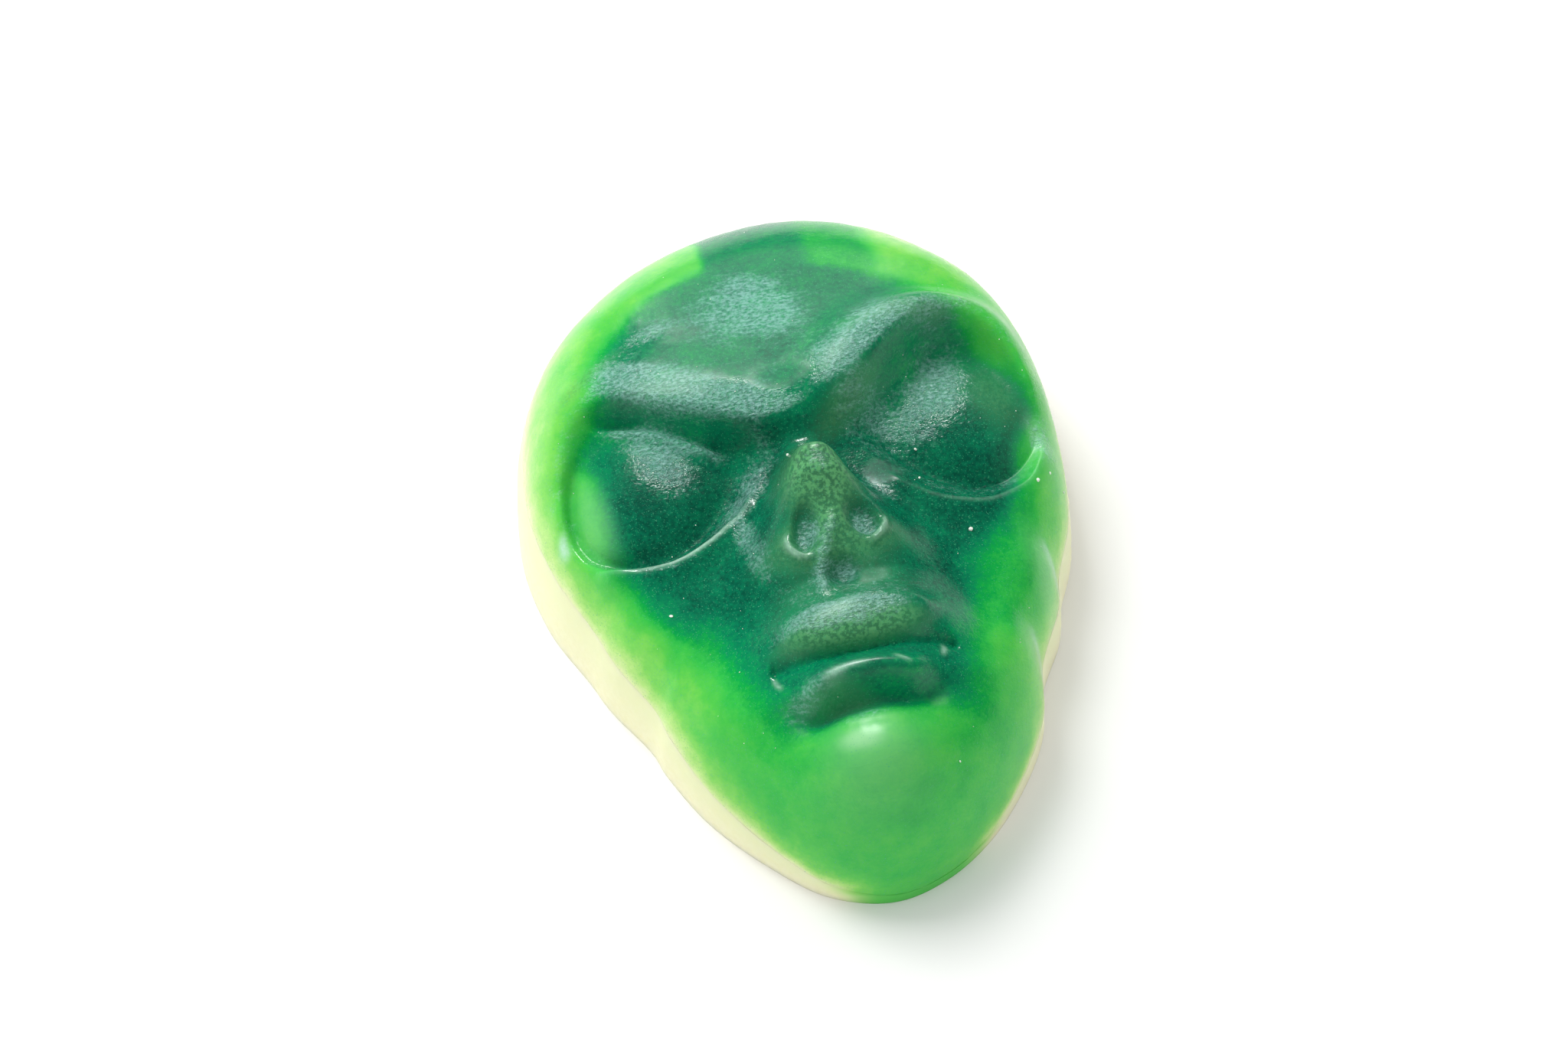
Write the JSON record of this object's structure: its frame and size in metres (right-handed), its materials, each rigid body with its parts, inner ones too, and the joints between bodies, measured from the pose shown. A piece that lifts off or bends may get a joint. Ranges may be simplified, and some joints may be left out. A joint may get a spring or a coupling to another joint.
{
  "type": "alien face candy",
  "caption": "Foam-backed green jelly sweet moulded as an alien's face, lying on its flat back.",
  "frame": {"origin": "middle of the flat back that the sweet lies on", "axes": "+Z out of the face, +Y towards the crown, -Y towards the chin"},
  "size_m": [0.033, 0.046, 0.0157],
  "materials": {
    "green_jelly": "waxy translucent jelly with a fine grain",
    "cream_foam": "matte aerated foam"
  },
  "bodies": {
    "root": {"jelly_face": "green_jelly", "foam_back": "cream_foam"}
  },
  "joints": []
}
